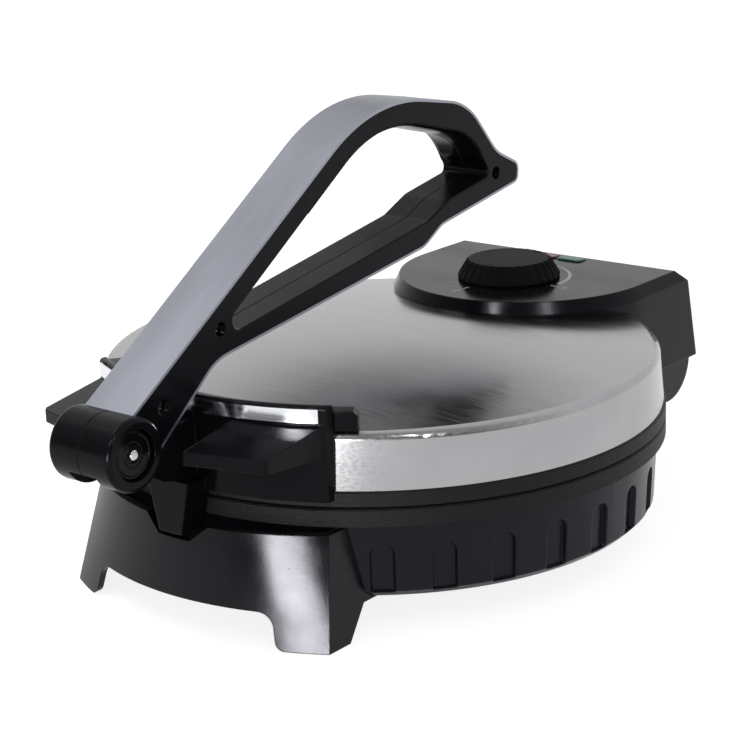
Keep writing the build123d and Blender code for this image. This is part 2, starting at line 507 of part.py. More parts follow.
def lower_plate():
    rim_in = PLATE_R - RIM_W
    cook_z = PLATE_TOP_Z - COOK_RECESS
    rib_z = LOW_CORE_Z - 2 * CHANNEL_R
    plate = spun((0, cook_z), (COOK_R, cook_z), (COOK_R + COOK_SLOPE, PLATE_TOP_Z),
                 (PLATE_R - RIM_CHAMFER, PLATE_TOP_Z), (PLATE_R, PLATE_TOP_Z - RIM_CHAMFER),
                 (PLATE_R, PLATE_LOW_Z), (rim_in, PLATE_LOW_Z), (rim_in, LOW_CORE_Z), (0, LOW_CORE_Z))
    plate += element_channel(rib_z, LOW_CORE_Z)
    for x, y in shield_places():
        plate += disc(SHIELD_POST_R, LOW_CORE_Z - SHIELD_GAP, cook_z - BLIND_END, x, y)
        plate -= disc(SCREW_R, LOW_CORE_Z - SHIELD_GAP, LOW_CORE_Z, x, y)
    for angle in POST_ANGLES:
        plate -= disc(SCREW_R, LOW_CORE_Z, cook_z - BLIND_END, *plan_point(POST_RING_R, angle))
    return plate


def element_channel(z_low, z_high):
    """Two cast ribs with the heating element between them."""
    wide = CHANNEL_R + CHANNEL_WALL
    outer = spun((ELEMENT_R - wide, z_low), (ELEMENT_R + wide, z_low), (ELEMENT_R + wide, z_high),
                 (ELEMENT_R - wide, z_high))
    return outer - spun((ELEMENT_R - CHANNEL_R, z_low), (ELEMENT_R + CHANNEL_R, z_low),
                        (ELEMENT_R + CHANNEL_R, z_high), (ELEMENT_R - CHANNEL_R, z_high))


def shield_places():
    """Places of the four posts that carry a heat shield."""
    return [plan_point(SHIELD_RING_R, angle) for angle in (45, 135, 225, 315)]


def terminal_places():
    """Places of the two terminals, near the ends of an element's ring."""
    reach = ELEMENT_OPEN / 2 + TERMINAL_INSET
    return [plan_point(ELEMENT_R, 180 + side * reach) for side in (-1, 1)]


def element(z, terminal_way):
    """Tubular heater bent to a ring, with its two terminals standing off the plate."""
    start = 180 + ELEMENT_OPEN / 2
    ring = revolve(Plane.XZ * Pos(ELEMENT_R, 0) * Circle(ELEMENT_TUBE_R), axis=Axis.Z,
                   revolution_arc=360 - ELEMENT_OPEN)
    ring = Pos(0, 0, z) * Rot(Z=start - 90) * ring
    for x, y in terminal_places():
        z_far = z + terminal_way * (ELEMENT_TUBE_R + TERMINAL_L)
        ring += disc(TERMINAL_R, min(z, z_far), max(z, z_far), x, y)
    return ring


def heat_shield(z_low, hole=None):
    """Sheet disc screwed to its four posts."""
    shield = disc(SHIELD_R, z_low, z_low + SHIELD_T)
    for x, y in shield_places():
        shield -= disc(SCREW_R, z_low, z_low + SHIELD_T, x, y)
    for x, y in terminal_places():
        shield -= disc(TERMINAL_R + TERMINAL_GAP, z_low, z_low + SHIELD_T, x, y)
    if hole:
        shield -= disc(hole[0], z_low, z_low + SHIELD_T, 0, hole[1])
    return shield


def terminal_block():
    """Three-way screw terminal on the tub's floor."""
    top = TUB_FLOOR_Z + TERMINAL_H
    block = Pos(0, TERMINAL_Y, top - TERMINAL_H / 2) * Box(TERMINAL_W, TERMINAL_D, TERMINAL_H)
    for i in (-1, 0, 1):
        block -= disc(TERMINAL_HOLE_R, top - TERMINAL_HOLE_DEPTH, top, i * TERMINAL_W / 3, TERMINAL_Y)
    return block


def plate_screws():
    """Three screws from below through the tub's posts into the lower plate."""
    length = LOW_CORE_Z + THREAD_END - TUB_BOTTOM_Z - SCREW_HEAD_H
    places = [plan_point(POST_RING_R, angle) for angle in POST_ANGLES]
    return [Pos(x, y, TUB_BOTTOM_Z + SCREW_HEAD_H) * screw(length) for x, y in places]


def shield_screws(z, way):
    """Four screws through a heat shield into its posts."""
    turn = Rot(X=180) if way < 0 else Rot()
    return [Pos(x, y, z) * turn * screw(SHIELD_SCREW_L) for x, y in shield_places()]


# --- lid ----------------------------------------------------------------------------------------

def dome_z(radius):
    """Height of the dome's outer surface at a radius."""
    sphere = (COVER_SHOULDER_R ** 2 + COVER_RISE ** 2) / (2 * COVER_RISE)
    return COVER_TOP_Z - sphere + sqrt(sphere ** 2 - radius ** 2)


def cover_solid(inset, foot_z=UPPER_TOP_Z):
    """Solid inside the steel cover's surface, or inside its inner face with an inset."""
    shoulder_r, foot_r = COVER_SHOULDER_R - inset, COVER_FOOT_R - inset
    shoulder = (shoulder_r, dome_z(COVER_SHOULDER_R) - inset)
    halfway = (shoulder_r / 2, dome_z(COVER_SHOULDER_R / 2) - inset)
    dome = ThreePointArc(shoulder, halfway, (0, COVER_TOP_Z - inset))
    rest = Polyline(dome @ 1, (0, foot_z), (foot_r, foot_z), shoulder)
    half = make_face([dome, rest])
    corner = half.vertices().sort_by_distance(shoulder)[0]
    return revolve(Plane.XZ * fillet(corner, COVER_ROUND - inset), axis=Axis.Z)


def lid_envelope(plate_gap):
    """The cover and the plates below it, for cutting what seats on the lid."""
    r = PLATE_R + plate_gap
    return cover_solid(0) + disc(r, PLATE_LOW_Z - PAST, UPPER_TOP_Z + plate_gap)


def lid_cover():
    cover = cover_solid(0) - cover_solid(COVER_T)
    cover -= disc(BUSH_HOLE_R, COVER_SHOULDER_Z - COVER_ROUND, COVER_TOP_Z, 0, DIAL_Y)
    slot_half = ARM_T / 2 + ARM_SLOT_GAP
    slot_top = UPPER_TOP_Z + ARM_STRAP_H + ARM_SLOT_GAP
    slot = side_prism(((ARM_REACH_Y, 0), (HINGE_Y, 0), (HINGE_Y, slot_top), (ARM_REACH_Y, slot_top)),
                      ARM_X - slot_half, ARM_X + slot_half)
    cover -= both_sides(slot)
    for x, y in HOUSING_POSTS:
        cover -= both_sides(disc(SCREW_R, COVER_SHOULDER_Z - COVER_ROUND, COVER_TOP_Z, x, y))
    hole = Rot(X=90) * disc(SCREW_R, 0, BRACKET_OUT_R)
    return cover - both_sides(turned(0, BRACKET_SCREW_ANGLE, BRACKET_SCREW_Z) * hole)


def arm_screw_places():
    return [(side * ARM_X, y) for side in (-1, 1) for y in ARM_SCREW_YS]


def upper_plate():
    rim_in = PLATE_R - RIM_W
    cook_z = UPPER_LOW_Z + COOK_RECESS
    plate = spun((0, cook_z), (COOK_R, cook_z), (COOK_R + COOK_SLOPE, UPPER_LOW_Z),
                 (PLATE_R - RIM_CHAMFER, UPPER_LOW_Z), (PLATE_R, UPPER_LOW_Z + RIM_CHAMFER),
                 (PLATE_R, UPPER_TOP_Z - RIM_CHAMFER), (PLATE_R - RIM_CHAMFER, UPPER_TOP_Z),
                 (rim_in, UPPER_TOP_Z), (rim_in, HIGH_CORE_Z), (0, HIGH_CORE_Z))
    plate += element_channel(HIGH_CORE_Z, HIGH_CORE_Z + 2 * CHANNEL_R)
    for x, y in shield_places():
        plate += disc(SHIELD_POST_R, cook_z + BLIND_END, HIGH_CORE_Z + SHIELD_GAP, x, y)
        plate -= disc(SCREW_R, HIGH_CORE_Z, HIGH_CORE_Z + SHIELD_GAP, x, y)
    for x, y in arm_screw_places():
        plate += disc(ARM_T / 2, cook_z + BLIND_END, UPPER_TOP_Z, x, y)
        plate -= disc(SCREW_R, HIGH_CORE_Z, UPPER_TOP_Z, x, y)
    return plate


def lid_hinge_arms():
    """Two arms that carry the upper plate on the hinge pins."""
    ear = (HINGE_Y, HINGE_Z)
    strap_z = UPPER_TOP_Z + ARM_STRAP_H
    web_low = UPPER_LOW_Z + ARM_PLATE_GAP
    lap_y = REAR - ARM_LAP
    ear_side = ARM_EAR_R * sin(radians(45))
    outline = ((ARM_REACH_Y, UPPER_TOP_Z), (lap_y, UPPER_TOP_Z), (lap_y, web_low),
               (HINGE_Y - ARM_EAR_R, web_low), ear, (HINGE_Y + ear_side, HINGE_Z + ear_side),
               (REAR + ARM_BACK, strap_z), (ARM_REACH_Y, strap_z))
    arm = side_prism(outline, ARM_X - ARM_T / 2, ARM_X + ARM_T / 2)
    arm += rod_x(ARM_EAR_R, ARM_X - ARM_T / 2, ARM_X + ARM_T / 2, *ear)
    arm -= rod_x(HINGE_PIN_R + HINGE_FIT, ARM_X - ARM_T, ARM_X + ARM_T, *ear)
    for y in ARM_SCREW_YS:
        arm -= disc(SCREW_R, UPPER_TOP_Z, strap_z, ARM_X, y)
    return both_sides(arm)


def arm_screws():
    seat = UPPER_TOP_Z + ARM_STRAP_H
    length = seat - HIGH_CORE_Z
    return [Pos(x, y, seat) * Rot(X=180) * screw(length, head_r=ARM_SCREW_HEAD_R)
            for x, y in arm_screw_places()]


def panel_slice(grow, z):
    """Level slice through the control housing: a half round in front of a straight body."""
    r = PANEL_R + grow
    front = ThreePointArc((-r, PANEL_Y), (0, PANEL_Y - r), (r, PANEL_Y))
    back = Polyline(front @ 1, (r, SIDE), (-r, SIDE), front @ 0)
    return Pos(0, 0, z) * make_face([front, back])


def housing_body(inset, low_z):
    """The housing's outer form, or its hollow with an inset."""
    bevel_z = PANEL_Z - HOUSING_BEVEL_H
    wide = panel_slice(HOUSING_FLARE - inset, bevel_z)
    body = loft([panel_slice(-inset, PANEL_Z - inset), wide], ruled=True)
    return body + extrude(wide, amount=low_z - bevel_z)


def control_housing():
    lean = (HOUSING_BACK_Y - PANEL_REAR_Y) / (PANEL_Z - HOUSING_BACK_Z)
    back = ((PANEL_REAR_Y - PAST * lean, PANEL_Z + PAST), (HOUSING_BACK_Y, HOUSING_BACK_Z),
            (HOUSING_HEEL_Y, HOUSING_LOW_Z))
    front = ((HOUSING_TOE_Y, HOUSING_LOW_Z), HOUSING_KNEE, HOUSING_SHOULDER, (0, HOUSING_SHOULDER[1]),
             (0, PANEL_Z + PAST))
    outer = housing_body(0, HOUSING_LOW_Z) & side_prism(back + front, -SIDE, SIDE)
    rear = outer.edges().filter_by(lambda e: abs(e.center().X) > PANEL_R and e.center().Y > HOUSING_BACK_Y)
    tall = rear.filter_by(lambda e: abs((e @ 1 - e @ 0).Z) > HOUSING_BACK_Z - UPPER_TOP_Z)
    outer = fillet(tall, HOUSING_EDGE)
    hollow_back = tuple((y - HOUSING_WALL, z) for y, z in back)
    hollow_front = ((HOUSING_HEEL_Y - HOUSING_WALL, 0), (0, 0), (0, PANEL_Z + PAST))
    hollow = housing_body(HOUSING_WALL, HOUSING_LOW_Z - PAST)
    housing = outer - (hollow & side_prism(hollow_back + hollow_front, -SIDE, SIDE))
    top = PANEL_Z - HOUSING_WALL
    for x, y in HOUSING_POSTS:
        housing += both_sides(disc(HOUSING_POST_R, COVER_SHOULDER_Z - COVER_ROUND, top, x, y))
    housing -= lid_envelope(HOUSING_LID_GAP)
    housing -= disc(SHAFT_HOLE_R, top, PANEL_Z, 0, DIAL_Y)
    for x, y in HOUSING_POSTS:
        housing -= both_sides(disc(SCREW_R, COVER_SHOULDER_Z - COVER_ROUND, top, x, y))
    for x in lens_places():
        housing -= Pos(x, LENS_Y, top) * extrude(SlotOverall(LENS_L, LENS_W), amount=HOUSING_WALL)
    return housing


def housing_screws():
    """Screws from inside the cover up into the housing's posts."""
    places = [(side * x, y) for side in (-1, 1) for x, y in HOUSING_POSTS]
    return [Pos(x, y, dome_z(hypot(x, y)) - COVER_T - DOME_SEAT_DROP) * screw(HOUSING_SCREW_L)
            for x, y in places]


def lens_places():
    step = (LENS_L + LENS_GAP) / 2
    return (-step, step)


def lens(x):
    """Oblong lamp lens with a lip behind the panel."""
    top = PANEL_Z - HOUSING_WALL
    window = extrude(SlotOverall(LENS_L, LENS_W), amount=HOUSING_WALL + LENS_PROUD)
    window = fillet(window.edges().group_by(Axis.Z)[-1], LENS_EDGE)
    lip = Pos(0, 0, -LENS_T) * extrude(SlotOverall(LENS_L + LENS_LIP, LENS_W + LENS_LIP), amount=LENS_T)
    return Pos(x, LENS_Y, top) * (window + lip)


def lamps():
    """Two indicator lamps in sleeves behind the lenses."""
    top = PANEL_Z - HOUSING_WALL - LENS_T
    return [disc(LAMP_R, top - LAMP_H, top, x, LENS_Y) for x in lens_places()]


def thermostat():
    """Thermostat on the upper plate with a bush for its shaft."""
    top = HIGH_CORE_Z + THERMOSTAT_H
    body = disc(THERMOSTAT_R, HIGH_CORE_Z, top, 0, DIAL_Y)
    body += disc(BUSH_R, top, BUSH_TOP_Z, 0, DIAL_Y)
    for side in (-1, 1):
        ear = Box(2 * THERMOSTAT_EAR, THERMOSTAT_EAR_W, THERMOSTAT_EAR_T)
        body += Pos(side * THERMOSTAT_R, DIAL_Y, top - THERMOSTAT_EAR_W / 2) * ear
    return body - disc(SHAFT_R + SHAFT_FIT, top - SHAFT_DEPTH, BUSH_TOP_Z, 0, DIAL_Y)


def dial_shaft():
    low_z = HIGH_CORE_Z + THERMOSTAT_H - SHAFT_DEPTH + SHAFT_END_GAP
    return disc(SHAFT_R, low_z, PANEL_Z + DIAL_H - SHAFT_END, 0, DIAL_Y)


def control_dial():
    """Fluted cone with a pointer mark at the rim of its top."""
    dial = spun((0, DIAL_GAP), (DIAL_RIM_R, DIAL_GAP), (DIAL_RIM_R, DIAL_RIM_H),
                (DIAL_TOP_R + DIAL_EDGE, DIAL_H - DIAL_EDGE), (DIAL_TOP_R - DIAL_EDGE, DIAL_H),
                (0, DIAL_H + DIAL_CROWN))
    slope = degrees(atan2(DIAL_RIM_R - DIAL_TOP_R, DIAL_H - DIAL_RIM_H))
    groove = Rot(X=-slope) * extrude(Circle(DIAL_GROOVE_R), amount=2 * DIAL_H)
    groove_r = DIAL_RIM_R + DIAL_GROOVE_R - DIAL_GROOVE_DEPTH
    for i in range(DIAL_RIBS):
        dial -= turned(groove_r, 360 * i / DIAL_RIBS, DIAL_RIM_H) * groove
    mark = Pos(0, DIAL_TOP_R - MARK_L / 2, DIAL_H) * Box(MARK_W, MARK_L, 2 * MARK_DEPTH)
    dial -= Rot(Z=-DIAL_POINTER) * mark
    dial = Pos(0, DIAL_Y, PANEL_Z) * dial
    return dial - disc(SHAFT_R, PANEL_Z, PANEL_Z + DIAL_H - SHAFT_END, 0, DIAL_Y)


# --- front bracket ------------------------------------------------------------------------------

def wing():
    """Wedge-shaped lifting ledge on one side of the pivot."""
    span = WING_TIP_X - WING_IN_X
    faces = []
    for in_y, tip_y, low, high in ((WING_IN_Y, WING_TIP_Y, WING_LIP_LOW_Z, WING_LIP_TOP_Z),
                                   (WING_ROOT_IN_Y, WING_ROOT_TIP_Y, WING_ROOT_LOW_Z, WING_ROOT_TOP_Z)):
        along = Vector(span, tip_y - in_y, 0)
        plane = Plane(origin=(WING_IN_X, in_y, 0), x_dir=along, z_dir=along.rotate(Axis.Z, -90))
        width = along.length
        outline = Polyline((0, low), (width, low), (width, high), (0, high), close=True)
        faces.append(plane * make_face(outline))
    body = loft(faces, ruled=True)
    upright = body.edges().filter_by(Axis.Z).sort_by_distance((WING_TIP_X, WING_TIP_Y, WING_LIP_LOW_Z))
    return chamfer(upright[0], WING_TIP_CUT)


def link():
    """Arm that reaches forward to the lever's hub, with an eye for the pivot pin."""
    hub = (HUB_Y, HUB_Z)
    neck_r = HUB_R + LINK_NECK
    neck = (HUB_Y + neck_r * cos(radians(LINK_LOW_ANGLE)), HUB_Z - neck_r * sin(radians(LINK_LOW_ANGLE)))
    shoulder = (LINK_ROOT_Y - LINK_SHOULDER_L, LINK_ROOT_TOP_Z - LINK_SHOULDER_DROP)
    outline = (hub, (HUB_Y + neck_r, HUB_Z), shoulder, (LINK_ROOT_Y, LINK_ROOT_TOP_Z),
               (LINK_ROOT_Y, BRACKET_LOW_Z + LINK_FOOT_RISE), (LINK_HEEL_Y, LINK_HEEL_Z), neck)
    arm = side_prism(outline, -LINK_HALF, LINK_HALF)
    arm += rod_x(LINK_EAR_R, -LINK_HALF, LINK_HALF, *hub)
    return arm - rod_x(PIN_R + PIN_FIT, -HUB_HALF, HUB_HALF, *hub)


def front_bracket():
    wall = sector(PAD_IN_R, BRACKET_OUT_R, BRACKET_IN_ANGLE, BRACKET_OUT_ANGLE, BRACKET_LOW_Z, BRACKET_TOP_Z)
    wall -= disc(COVER_FOOT_R, UPPER_TOP_Z, BRACKET_TOP_Z)
    wall = fillet(wall.edges().group_by(Axis.Z)[-1].filter_by(GeomType.CIRCLE), BRACKET_EDGE)
    pad_low, pad_top = COVER_SHOULDER_Z + PAD_LOW_RISE, COVER_SHOULDER_Z + PAD_RISE
    pad = sector(PAD_IN_R, PAD_OUT_R, PAD_ANGLE, PAD_ANGLE, pad_low, pad_top)
    pad = chamfer(pad.edges().group_by(Axis.Z)[-1].filter_by(GeomType.LINE), PAD_CHAMFER)
    mid_r = COVER_FOOT_R + BRACKET_WALL / 2
    wall += sector(PAD_IN_R, mid_r, BRACKET_OUT_ANGLE, BRACKET_OUT_ANGLE, pad_low, pad_top)
    bracket = wall + pad + both_sides(wing()) + link()
    root_z = BRACKET_LOW_Z + TONGUE_ROOT
    tongue = Polyline((-TONGUE_TIP_X, TONGUE_TIP_Z), (TONGUE_TIP_X, TONGUE_TIP_Z), (TONGUE_TOP_X, root_z),
                      (-TONGUE_TOP_X, root_z), close=True)
    tongue = Plane.XZ.offset(-TONGUE_BACK_Y) * make_face(tongue)
    bracket += extrude(tongue, amount=TONGUE_BACK_Y - TONGUE_FRONT_Y)
    bracket -= lid_envelope(BRACKET_PLATE_GAP)
    hole = Rot(X=90) * disc(SCREW_R, 0, BRACKET_OUT_R - BRACKET_SCREW_END)
    return bracket - both_sides(turned(0, BRACKET_SCREW_ANGLE, BRACKET_SCREW_Z) * hole)


def bracket_trim():
    """Curved strip of brushed steel along the top of the bracket."""
    seat_r = BRACKET_OUT_R + SEAT_GAP
    return sector(seat_r, seat_r + TRIM_T, TRIM_ANGLE, TRIM_ANGLE, TRIM_TOP_Z - TRIM_W, TRIM_TOP_Z)


def bracket_screws():
    seat = COVER_FOOT_R - COVER_T - BRACKET_SCREW_SEAT
    bolt = Rot(X=90) * screw(BRACKET_OUT_R - BRACKET_SCREW_END - seat)
    return [turned(seat, side * BRACKET_SCREW_ANGLE, BRACKET_SCREW_Z) * bolt for side in (-1, 1)]


# --- lever --------------------------------------------------------------------------------------

def loop_outline():
    """Closed outer edge of the lever's black body, in (y, z)."""
    edge = FilletPolyline(*LOOP_OUTER, radius=list(LOOP_OUTER_ROUND))
    return Pos(HUB_Y, HUB_Z) * make_face([edge, Line(edge @ 1, edge @ 0)])


def loop_window():
    """Finger opening of the lever, in (y, z)."""
    edge = FilletPolyline(*LOOP_INNER, radius=list(LOOP_INNER_ROUND), close=True)
    return Pos(HUB_Y, HUB_Z) * make_face(edge)


def lever_screw_places():
    return [(HUB_Y + y, HUB_Z + z) for y, z in LEVER_SCREWS]


def hub_slot():
    """Room for the bracket's link inside the hub and through the open part of its wall."""
    half = LINK_HALF + LINK_SIDE_GAP
    reach = 2.0 * HUB_R
    steps = [SLOT_FROM + (SLOT_TO - SLOT_FROM) * i / 4 for i in range(5)]
    fan = [(HUB_Y + reach * cos(radians(a)), HUB_Z + reach * sin(radians(a))) for a in steps]
    bore = rod_x(LINK_EAR_R + LINK_EAR_GAP, -half, half, HUB_Y, HUB_Z)
    return bore + side_prism([(HUB_Y, HUB_Z), *fan], -half, half)


def lever_shell(side):
    """One half of the lever's body, split at the middle plane: side 1 is the right half."""
    loop = extrude(Plane.YZ * (loop_outline() - loop_window()), amount=LOOP_HALF)
    rim = loop.faces().sort_by(Axis.X)[-1].inner_wires()[0].edges()
    loop = chamfer(rim, LOOP_CHAMFER)
    hub = rod_x(HUB_R, 0, HUB_HALF, HUB_Y, HUB_Z)
    hub = fillet(hub.edges().filter_by(GeomType.CIRCLE).sort_by(Axis.X)[-1], HUB_ROUND)
    shell = loop + hub
    shell -= rod_x(CAP_R, HUB_HALF - CAP_RECESS - CAP_T, HUB_HALF, HUB_Y, HUB_Z)
    shell -= rod_x(PIN_R, 0, HUB_HALF, HUB_Y, HUB_Z)
    shell -= hub_slot()
    for y, z in lever_screw_places():
        if side > 0:
            shell -= rod_x(LEVER_SCREW_HOLE_R, LOOP_HALF - LEVER_SCREW_SINK, HUB_HALF, y, z)
            shell -= rod_x(SCREW_R, 0, LOOP_HALF, y, z)
        else:
            shell -= rod_x(SCREW_R, 0, LOOP_HALF - LEVER_SCREW_SINK, y, z)
    return shell if side > 0 else mirror(shell, about=Plane.YZ)


def lever_band():
    """Aluminium strip wrapped round the lever's outer edge from the hub's top to its underside."""
    body = loop_outline()
    ring = offset(body, BAND_T) - body
    half = LOOP_HALF + BAND_OVERHANG
    band = extrude(Plane.YZ.offset(-half) * ring, amount=2 * half)
    return band - rod_x(HUB_R + SEAT_GAP, -2 * half, 2 * half, HUB_Y, HUB_Z) - hub_slot()


def lever_screws():
    seat = LOOP_HALF - LEVER_SCREW_SINK
    length = 2 * seat - LEVER_SCREW_END
    bolt = Rot(Y=-90) * screw(length, head_r=LEVER_SCREW_HEAD_R)
    return [Pos(seat, y, z) * bolt for y, z in lever_screw_places()]


def pivot_pin():
    """Steel pin through the hub and the link, bored at both ends for the cap screws."""
    bore = rod_x(SCREW_R, PIN_HALF - PIN_BORE_DEPTH, PIN_HALF, HUB_Y, HUB_Z)
    return rod_x(PIN_R, -PIN_HALF, PIN_HALF, HUB_Y, HUB_Z) - both_sides(bore)


def pivot_caps():
    """Recessed caps in the hub's ends, each dished round its screw."""
    inner = PIN_HALF
    cap = rod_x(CAP_R, inner, inner + CAP_T, HUB_Y, HUB_Z)
    ring = cap.edges().filter_by(GeomType.CIRCLE).sort_by(Axis.X)[-1]
    cap = chamfer(ring, CAP_EDGE)
    cap -= rod_x(CAP_DISH_R, inner + CAP_T - CAP_DISH_DEPTH, inner + CAP_T, HUB_Y, HUB_Z)
    cap -= rod_x(SCREW_R, inner, inner + CAP_T, HUB_Y, HUB_Z)
    return both_sides(cap)


def pivot_screws():
    """Screws that hold the caps, driven into the ends of the pin's bore."""
    seat = HUB_HALF - CAP_RECESS - CAP_DISH_DEPTH
    bolt = Rot(Y=-90) * screw(seat - PIN_HALF + PIN_BORE_DEPTH, head_r=CAP_SCREW_HEAD_R)
    return both_sides(Pos(seat, HUB_Y, HUB_Z) * bolt)


# --- all the pieces -----------------------------------------------------------------------------

add("base_tub", base_tub())
add("rear_feet", rear_feet())
add("rubber_pads", rubber_pads())
add("front_apron", front_apron())
add("rear_housing", rear_housing())
add("rear_housing_screws", *rear_housing_screws())
add("hinge_pins", hinge_pins())
add("cord_gland", cord_gland())
add("terminal_block", terminal_block())
add("lower_plate", lower_plate())
add("lower_element", element(LOW_CORE_Z - ELEMENT_TUBE_R, -1))
add("lower_heat_shield", heat_shield(LOW_CORE_Z - SHIELD_GAP - SHIELD_T))
add("lower_shield_screws", *shield_screws(LOW_CORE_Z - SHIELD_GAP - SHIELD_T, 1))
add("plate_screws", *plate_screws())
add("thermal_fuse", disc(FUSE_R, LOW_CORE_Z - FUSE_H, LOW_CORE_Z, 0, FUSE_Y))
add("apron_screws", *apron_screws())
add("lid_cover", lid_cover())
add("upper_plate", upper_plate())
add("upper_element", element(HIGH_CORE_Z + ELEMENT_TUBE_R, 1))
add("upper_heat_shield", heat_shield(HIGH_CORE_Z + SHIELD_GAP, (THERMOSTAT_R + 3, DIAL_Y)))
add("upper_shield_screws", *shield_screws(HIGH_CORE_Z + SHIELD_GAP + SHIELD_T, -1))
add("lid_hinge_arms", lid_hinge_arms())
add("arm_screws", *arm_screws())
add("control_housing", control_housing())
add("housing_screws", *housing_screws())
add("red_lens", lens(lens_places()[0]))
add("green_lens", lens(lens_places()[1]))
add("indicator_lamps", *lamps())
add("thermostat", thermostat())
add("front_bracket", front_bracket())
add("bracket_trim", bracket_trim())
add("bracket_screws", *bracket_screws())
add("control_dial", control_dial())
add("dial_shaft", dial_shaft())
add("lever_shell_right", lever_shell(1))
add("lever_shell_left", lever_shell(-1))
add("lever_band", lever_band())
add("lever_screws", *lever_screws())
add("pivot_pin", pivot_pin())
add("pivot_caps", pivot_caps())
add("pivot_screws", pivot_screws())

os.makedirs("parts", exist_ok=True)
for name, shape in NODES.items():
    export_step(shape, f"parts/{name}.step")
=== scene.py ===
import math
import bpy
import bmesh
from mathutils import Matrix, Vector


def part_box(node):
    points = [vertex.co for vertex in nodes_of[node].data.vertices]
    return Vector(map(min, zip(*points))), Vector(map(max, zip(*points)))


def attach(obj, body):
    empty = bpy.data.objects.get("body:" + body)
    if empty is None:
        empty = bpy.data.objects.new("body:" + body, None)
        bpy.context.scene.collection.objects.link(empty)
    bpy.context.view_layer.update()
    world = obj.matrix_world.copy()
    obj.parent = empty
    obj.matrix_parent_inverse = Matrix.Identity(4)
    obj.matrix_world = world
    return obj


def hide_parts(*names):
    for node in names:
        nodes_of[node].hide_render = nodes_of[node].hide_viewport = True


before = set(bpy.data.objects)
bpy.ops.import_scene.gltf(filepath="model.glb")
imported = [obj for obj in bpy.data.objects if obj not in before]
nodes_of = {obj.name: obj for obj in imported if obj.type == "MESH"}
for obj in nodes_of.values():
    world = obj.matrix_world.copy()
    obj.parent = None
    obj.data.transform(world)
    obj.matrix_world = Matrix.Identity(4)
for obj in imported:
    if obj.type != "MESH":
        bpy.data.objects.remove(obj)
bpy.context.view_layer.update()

MM = 0.001
scene = bpy.context.scene

# ---------------------------------------------------------------- camera
YAW, PITCH, ROLL = (math.radians(a) for a in (39.4495, 16.6548, -2.0831))
FOCAL_PX, IMAGE_PX, SENSOR = 2102.97, 736, 36.0
CAMERA_AT = Vector((0.60518, -0.73547, 0.36683))

forward = Vector((-math.sin(YAW) * math.cos(PITCH), math.cos(YAW) * math.cos(PITCH), -math.sin(PITCH)))
level = Vector((math.cos(YAW), math.sin(YAW), 0))
upright = level.cross(forward)
right = math.cos(ROLL) * level + math.sin(ROLL) * upright
up = -math.sin(ROLL) * level + math.cos(ROLL) * upright
cam_data = bpy.data.cameras.new("camera")
cam_data.sensor_width = SENSOR
cam_data.lens = FOCAL_PX * SENSOR / IMAGE_PX
cam_data.clip_start, cam_data.clip_end = 0.05, 60
camera = bpy.data.objects.new("camera", cam_data)
camera.matrix_world = Matrix.Translation(CAMERA_AT) @ Matrix((right, up, -forward)).transposed().to_4x4()
scene.collection.objects.link(camera)
scene.camera = camera
scene.view_settings.view_transform = "Standard"


# ---------------------------------------------------------------- node helpers
class Shader:
    """A node material under construction."""

    def __init__(self, name):
        self.material = bpy.data.materials.new(name)
        self.material.use_nodes = True
        self.tree = self.material.node_tree
        self.tree.nodes.clear()
        self.out = self.tree.nodes.new("ShaderNodeOutputMaterial")

    def node(self, kind, links=None, **values):
        node = self.tree.nodes.new("ShaderNode" + kind)
        for key, value in values.items():
            setattr(node, key, value)
        for socket, value in (links or {}).items():
            self.put(node.inputs[socket], value)
        return node

    def put(self, socket, value):
        if isinstance(value, bpy.types.NodeSocket):
            self.tree.links.new(value, socket)
        else:
            socket.default_value = value

    def coords(self, scale=(1, 1, 1), rotation=(0, 0, 0)):
        where = self.node("TexCoord").outputs["Object"]
        return self.node("Mapping", {"Vector": where, "Scale": scale, "Rotation": rotation}).outputs[0]

    def noise(self, vector, scale, detail=4.0, rough=0.5):
        return self.node("TexNoise", {"Vector": vector, "Scale": scale, "Detail": detail,
                                      "Roughness": rough}).outputs["Fac"]

    def span(self, value, low, high, from_low=0.3, from_high=0.7):
        """Map a value from one range to another; the first range is where noise mostly lies."""
        return self.node("MapRange", {"Value": value, "From Min": from_low, "From Max": from_high,
                                      "To Min": low, "To Max": high}).outputs["Result"]

    def ramp(self, value, *stops):
        """Colour ramp through (place, colour) stops."""
        node = self.node("ValToRGB", {"Fac": value})
        while len(node.color_ramp.elements) < len(stops):
            node.color_ramp.elements.new(0.5)
        for element, (place, colour) in zip(node.color_ramp.elements, stops):
            element.position = place
            element.color = (*colour, 1)
        return node.outputs["Color"]

    def multiply(self, first, second):
        node = self.node("Mix", data_type="RGBA", blend_type="MULTIPLY")
        node.inputs[0].default_value = 1.0
        self.put(node.inputs[6], first)
        self.put(node.inputs[7], second)
        return node.outputs[2]

    def add(self, first, second):
        return self.node("Math", {0: first, 1: second}, operation="ADD").outputs[0]

    def bump(self, height, distance, normal=None):
        links = {"Height": height, "Distance": distance, "Strength": 1.0}
        if normal is not None:
            links["Normal"] = normal
        return self.node("Bump", links).outputs["Normal"]

    def principled(self, **links):
        """Close the material with a principled shader; socket names have _ for spaces."""
        named = {key.replace("_", " "): value for key, value in links.items()}
        shader = self.node("BsdfPrincipled", named)
        self.tree.links.new(shader.outputs[0], self.out.inputs["Surface"])
        return self.material


def grey(value, tint=(1.0, 1.0, 1.0)):
    """A grey of one brightness, as an (r, g, b) colour with a slight tint."""
    return tuple(value * t for t in tint)


# ---------------------------------------------------------------- materials
GLOSS_TINT = (0.93, 0.91, 1.0, 1.0)                 # colour of the plastics' reflections
SEAM_HALF, SEAM_DEPTH = 0.35 * MM, 0.35 * MM        # the parting line at x = 0
CLOUD_SCALE, SMEAR_SCALE = 35, 22


